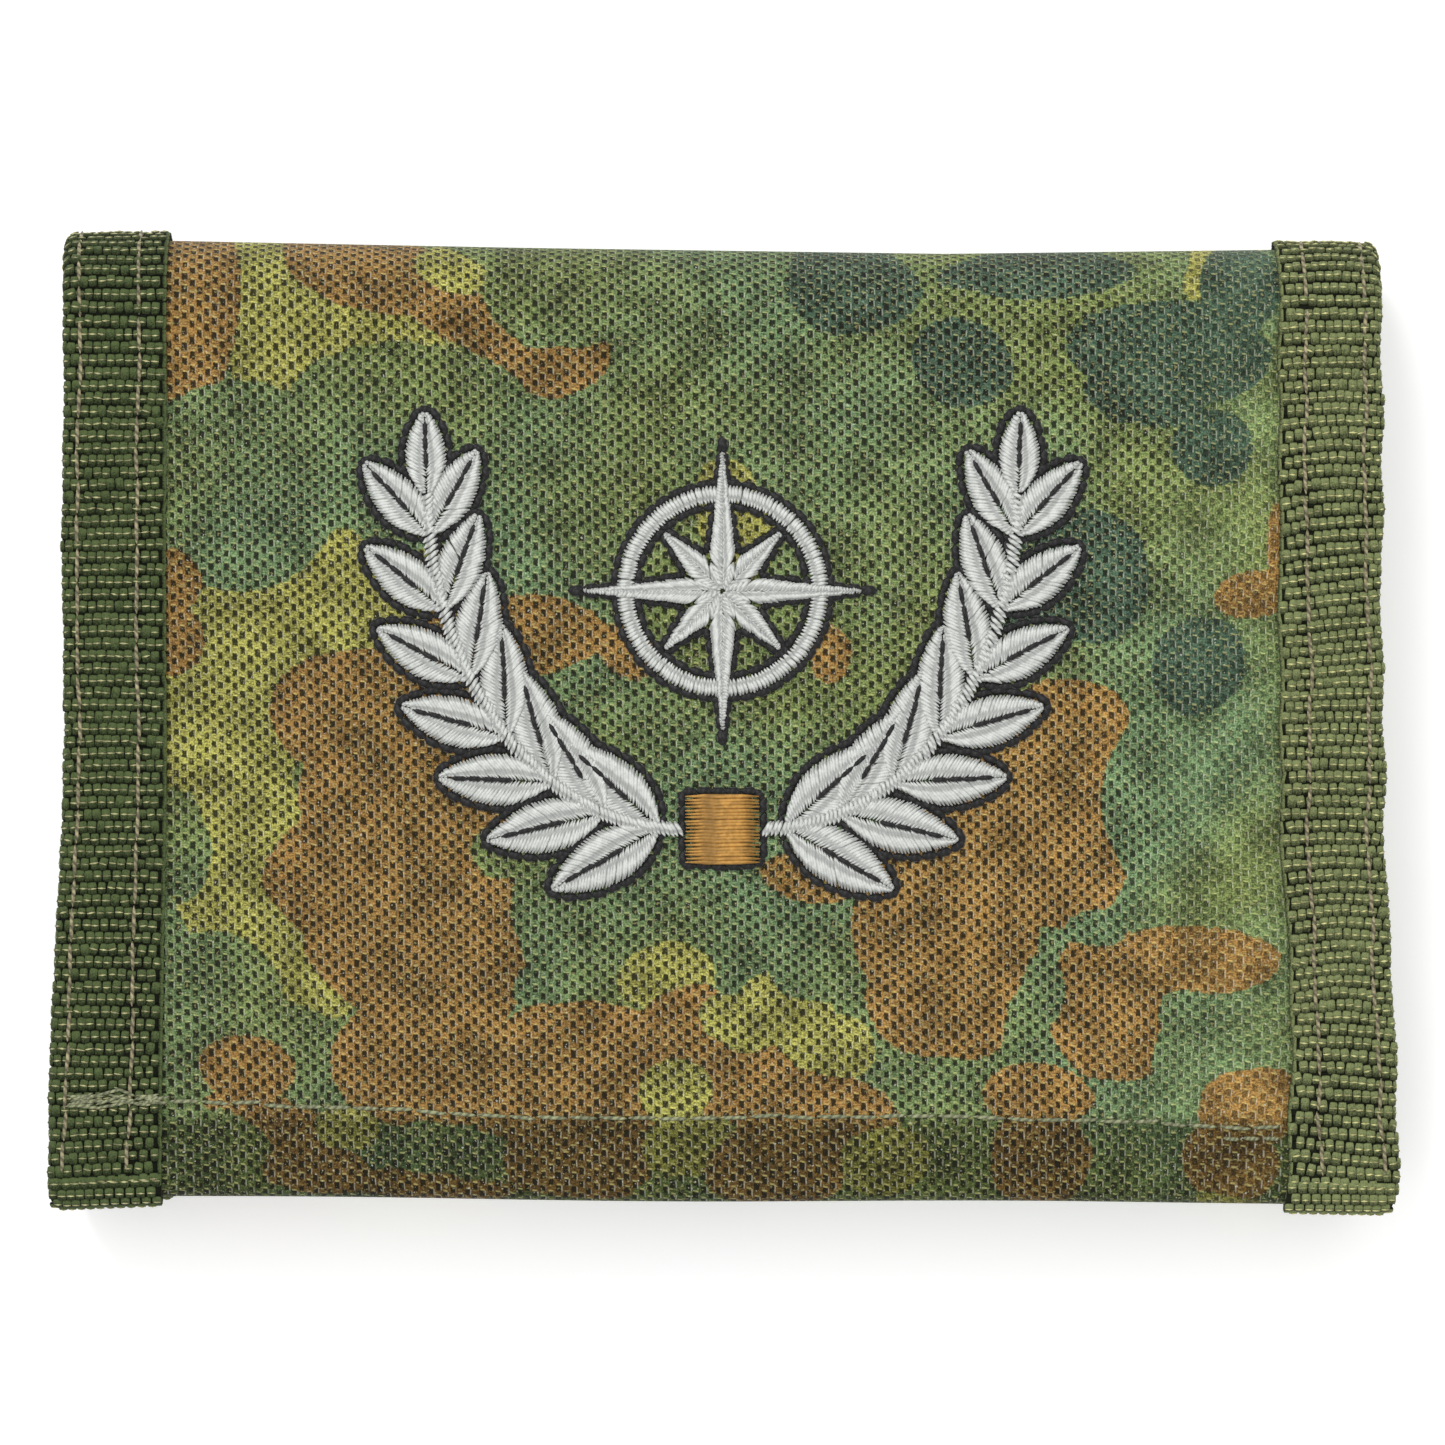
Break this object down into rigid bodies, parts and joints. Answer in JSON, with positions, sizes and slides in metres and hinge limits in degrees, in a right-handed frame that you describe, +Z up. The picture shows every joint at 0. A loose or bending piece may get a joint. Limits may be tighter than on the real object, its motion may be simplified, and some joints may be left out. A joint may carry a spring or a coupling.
{
  "type": "trifold wallet",
  "caption": "Nylon trifold wallet with a hook-and-loop flap, a zipped coin pocket, flat card pockets and a clear window, bound in ribbed edge tape.",
  "frame": {"origin": "centre of the footprint, on the surface that the closed wallet lies on", "axes": "+X across the wallet along the folds, +Y towards the top fold, +Z up from the back panel to the closing flap"},
  "size_m": [0.133, 0.096, 0.0176],
  "materials": {
    "camouflage_nylon": "woven",
    "lining_nylon": "woven",
    "edge_tape": "woven",
    "inner_binding": "woven",
    "pocket_nylon": "woven",
    "zip_tape": "woven",
    "zip_coil": "satin",
    "zip_metal": "satin",
    "clear_vinyl": "satin",
    "hook_tape": "woven",
    "loop_tape": "woven",
    "dark_thread": "woven",
    "pale_thread": "woven",
    "ochre_thread": "woven"
  },
  "bodies": {
    "back_panel": {"shell_back": "camouflage_nylon", "lining_back": "lining_nylon", "edge_tape_right_back": "edge_tape", "edge_tape_left_back": "edge_tape", "lining_tape_back": "inner_binding", "coin_pocket_front": "pocket_nylon", "coin_pocket_top_strip": "pocket_nylon", "zip_tape_lower": "zip_tape", "zip_tape_upper": "zip_tape", "zip_coil_lower": "zip_coil", "zip_coil_upper": "zip_coil", "zip_stop_left": "zip_metal", "zip_stop_right": "zip_metal"},
    "top_spine": {"shell_top_fold": "camouflage_nylon", "lining_top_fold": "lining_nylon", "edge_tape_right_top_fold": "edge_tape", "edge_tape_left_top_fold": "edge_tape", "lining_tape_top_fold": "inner_binding"},
    "flap": {"shell_flap": "camouflage_nylon", "lining_flap": "lining_nylon", "edge_tape_right_flap": "edge_tape", "edge_tape_left_flap": "edge_tape", "lining_tape_flap": "inner_binding", "id_window": "clear_vinyl", "id_window_trim": "inner_binding", "hook_strip": "hook_tape", "motif_sprig_left": "pale_thread", "motif_sprig_right": "pale_thread", "motif_star": "pale_thread", "motif_band": "ochre_thread", "motif_border_sprigs": "dark_thread", "motif_border_star": "dark_thread"},
    "bottom_spine": {"shell_bottom_fold": "camouflage_nylon", "lining_bottom_fold": "lining_nylon", "edge_tape_right_bottom_fold": "edge_tape", "edge_tape_left_bottom_fold": "edge_tape", "lining_tape_bottom_fold": "inner_binding"},
    "inner_panel": {"shell_inner": "camouflage_nylon", "lining_inner": "lining_nylon", "edge_tape_right_inner": "edge_tape", "edge_tape_left_inner": "edge_tape", "lining_tape_inner": "inner_binding", "card_pocket_rear": "pocket_nylon", "card_pocket_middle": "pocket_nylon", "card_pocket_front": "pocket_nylon", "loop_strip": "loop_tape"},
    "zip_slider": {"zip_slider": "zip_metal"},
    "zip_pull": {"zip_pull": "zip_metal"}
  },
  "joints": [
    {"name": "top_fold", "type": "hinge", "parent": "back_panel", "child": "top_spine", "pos_m": [0, 0.04542, 0.00258], "axis": [-1, 0, 0], "range_deg": [0, 90]},
    {"name": "flap_fold", "type": "hinge", "parent": "top_spine", "child": "flap", "pos_m": [0, 0.04542, 0.01502], "axis": [-1, 0, 0], "range_deg": [0, 90]},
    {"name": "bottom_fold", "type": "hinge", "parent": "back_panel", "child": "bottom_spine", "pos_m": [0, -0.04586, 0.00164], "axis": [1, 0, 0], "range_deg": [0, 45]},
    {"name": "inner_fold", "type": "hinge", "parent": "bottom_spine", "child": "inner_panel", "pos_m": [0, -0.04586, 0.00956], "axis": [1, 0, 0], "range_deg": [0, 45]},
    {"name": "zip_slide", "type": "slide", "parent": "back_panel", "child": "zip_slider", "axis": [1, 0, 0], "range_m": [0, 0.084]},
    {"name": "pull_lift", "type": "hinge", "parent": "zip_slider", "child": "zip_pull", "pos_m": [-0.043, 0.027, 0.008], "axis": [0, -1, 0], "range_deg": [0, 90]}
  ],
  "couplings": [
    {"joint": "flap_fold", "follows": "top_fold", "ratio": 1},
    {"joint": "bottom_fold", "follows": "top_fold", "ratio": 0.5},
    {"joint": "inner_fold", "follows": "top_fold", "ratio": 0.5},
    {"joint": "pull_lift", "follows": "top_fold", "ratio": 1}
  ]
}
